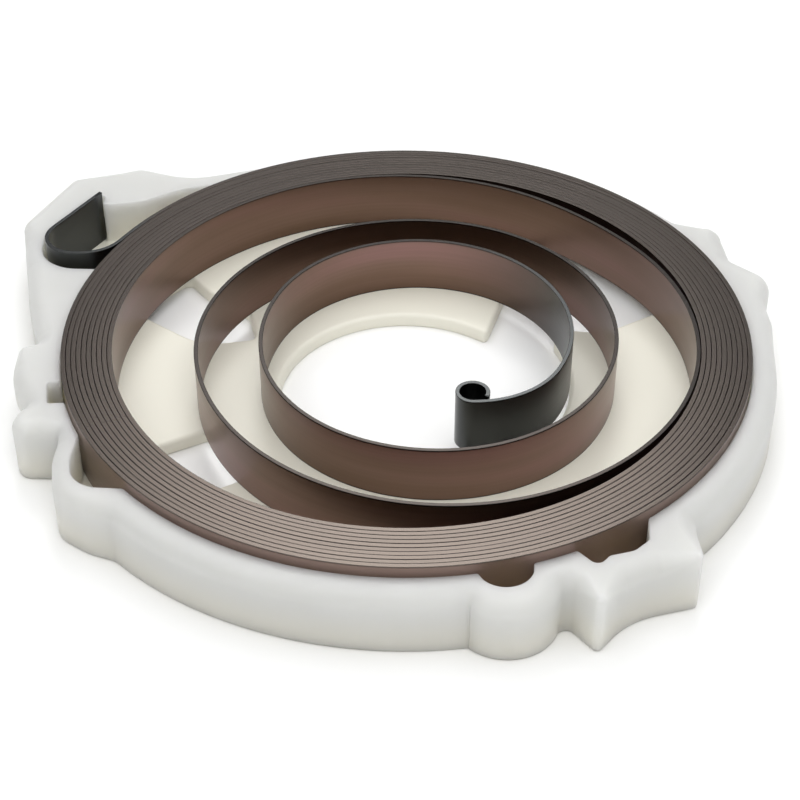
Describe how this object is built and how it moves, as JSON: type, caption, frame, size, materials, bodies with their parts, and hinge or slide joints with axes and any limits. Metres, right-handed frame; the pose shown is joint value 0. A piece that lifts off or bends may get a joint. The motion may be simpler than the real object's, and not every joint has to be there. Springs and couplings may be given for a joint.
{
  "type": "recoil starter spring",
  "caption": "Flat spiral steel starter spring with a hooked outer end and a rolled inner eye, lying on edge in a shallow white moulded cassette with locating lobes.",
  "frame": {"origin": "on the coil's axis, level with the underside of the cassette", "axes": "+Z along the coil's axis towards the open side, +Y towards the back, with the hook at the back left, +X to the right"},
  "size_m": [0.0788, 0.0738, 0.0075],
  "materials": {
    "moulding": "natural white moulded plastic, slightly translucent, satin",
    "strip": "rolled and tempered spring steel, brown oxide, lightly oiled"
  },
  "bodies": {
    "root": {"spring_cassette": "moulding", "spring_strip": "strip"}
  },
  "joints": []
}
